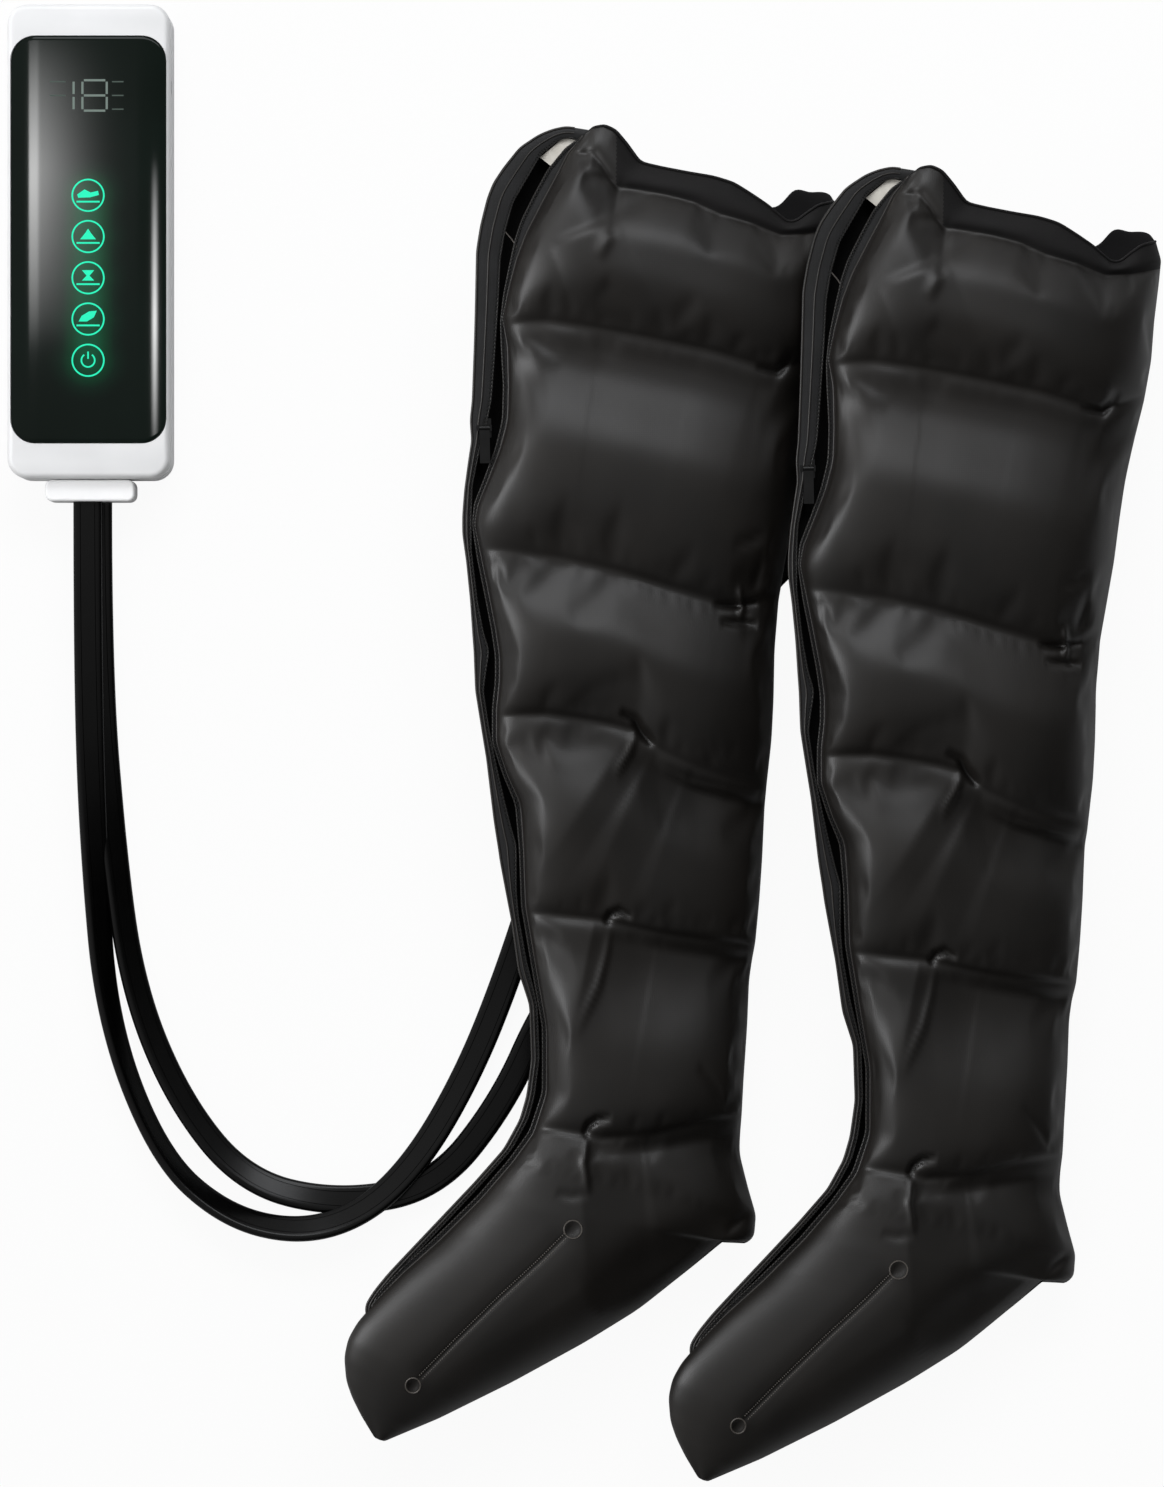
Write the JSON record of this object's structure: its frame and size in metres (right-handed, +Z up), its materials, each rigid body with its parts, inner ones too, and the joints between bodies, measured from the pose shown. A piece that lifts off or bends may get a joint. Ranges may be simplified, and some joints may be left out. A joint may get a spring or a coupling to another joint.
{
  "type": "compression therapy pump",
  "caption": "Air compression leg massager laid flat: a hand controller with a touch glass, two flat hoses on one plug, and two zipped leg boots with welded air chambers",
  "frame": {"origin": "middle of the box of controller and boots, on the surface they lie on", "axes": "+Z up, +Y from the toes to the thighs, +X from the left boot to the right boot"},
  "size_m": [0.7951, 1.0228, 0.1149],
  "materials": {
    "case_white": "injection-moulded ABS, satin gloss",
    "glass_black": "back-printed black touch glass",
    "board_green": "solder-masked circuit board",
    "display_dark": "display housing",
    "guide_cyan": "light guide, lit",
    "steel": "zinc-plated steel",
    "rubber_black": "moulded rubber",
    "cell_wrap": "shrink-wrapped cells",
    "plastic_black": "moulded nylon",
    "copper_coil": "enamelled winding and shell",
    "hose_black": "extruded soft PVC, glossy",
    "coated_nylon": "coated nylon, heat-welded",
    "lining": "brushed lining",
    "tape": "woven zip tape",
    "zip_plastic": "nylon coil",
    "zip_metal": "black enamelled zinc",
    "label_white": "blank woven label"
  },
  "bodies": {
    "boots_and_hoses": {"hose_plug": "case_white", "plug_seals": "rubber_black", "left_hose": "hose_black", "right_hose": "hose_black", "left_chamber_1_upper_thigh": "coated_nylon", "left_chamber_2_lower_thigh": "coated_nylon", "left_chamber_3_knee": "coated_nylon", "left_chamber_4_calf": "coated_nylon", "left_chamber_5_shin": "coated_nylon", "left_chamber_6_foot": "coated_nylon", "left_cuff_hem": "coated_nylon", "left_front_gusset": "lining", "left_far_zip_tape": "tape", "left_near_zip_tape": "tape", "left_zip_coil": "zip_plastic", "left_size_label": "label_white", "left_hose_inlet": "plastic_black", "right_chamber_1_upper_thigh": "coated_nylon", "right_chamber_2_lower_thigh": "coated_nylon", "right_chamber_3_knee": "coated_nylon", "right_chamber_4_calf": "coated_nylon", "right_chamber_5_shin": "coated_nylon", "right_chamber_6_foot": "coated_nylon", "right_cuff_hem": "coated_nylon", "right_front_gusset": "lining", "right_far_zip_tape": "tape", "right_near_zip_tape": "tape", "right_zip_coil": "zip_plastic", "right_size_label": "label_white", "right_hose_inlet": "plastic_black"},
    "controller": {"rear_housing": "case_white", "front_housing": "case_white", "glass_panel": "glass_black", "touch_board": "board_green", "display_module": "display_dark", "icon_light_guides": "guide_cyan", "housing_screws": "steel", "rubber_feet": "rubber_black", "battery_pack": "cell_wrap", "main_board": "board_green", "buzzer": "plastic_black", "charging_port": "steel", "pump_motor": "steel", "motor_bracket": "plastic_black", "pump_body": "plastic_black", "diaphragm": "rubber_black", "pump_cap": "plastic_black", "valve_manifold": "plastic_black", "valve_coils": "copper_coil", "air_socket": "case_white", "air_tubes": "hose_black"},
    "motor_rotor": {"motor_shaft": "steel"},
    "rocker": {"rocker_plate": "plastic_black"},
    "left_valve": {"left_valve_plunger": "steel"},
    "right_valve": {"right_valve_plunger": "steel"},
    "left_slider": {"left_zip_slider": "zip_metal"},
    "left_pull_tab": {"left_zip_pull": "zip_metal"},
    "right_slider": {"right_zip_slider": "zip_metal"},
    "right_pull_tab": {"right_zip_pull": "zip_metal"}
  },
  "joints": [
    {"name": "controller_pulls_off_plug", "type": "slide", "parent": "boots_and_hoses", "child": "controller", "axis": [0, 1, 0], "range_m": [0, 0.03]},
    {"name": "motor_spin", "type": "hinge", "parent": "controller", "child": "motor_rotor", "pos_m": [-0.3413, 0.3234, 0.021], "axis": [0, 1, 0], "continuous": true},
    {"name": "rocker_tilt", "type": "hinge", "parent": "controller", "child": "rocker", "pos_m": [-0.3413, 0.3105, 0.021], "axis": [1, 0, 0], "range_deg": [-3, 3]},
    {"name": "left_valve_stroke", "type": "slide", "parent": "controller", "child": "left_valve", "axis": [0, 1, 0], "range_m": [0, 0.0015], "stiffness_N_per_m": 200, "springref_m": -0.001},
    {"name": "right_valve_stroke", "type": "slide", "parent": "controller", "child": "right_valve", "axis": [0, 1, 0], "range_m": [0, 0.0015], "stiffness_N_per_m": 200, "springref_m": -0.001},
    {"name": "left_zip_slide", "type": "slide", "parent": "boots_and_hoses", "child": "left_slider", "axis": [0.0206, -0.9988, -0.0452], "range_m": [0, 0.17]},
    {"name": "left_pull_swing", "type": "hinge", "parent": "left_slider", "child": "left_pull_tab", "pos_m": [-0.0666, 0.21511, 0.09067], "axis": [-0.9901, -0.0267, 0.1381], "range_deg": [0, 165]},
    {"name": "right_zip_slide", "type": "slide", "parent": "boots_and_hoses", "child": "right_slider", "axis": [0.0206, -0.9988, -0.0452], "range_m": [0, 0.17]},
    {"name": "right_pull_swing", "type": "hinge", "parent": "right_slider", "child": "right_pull_tab", "pos_m": [0.1542, 0.18751, 0.09067], "axis": [-0.9901, -0.0267, 0.1381], "range_deg": [0, 165]}
  ]
}
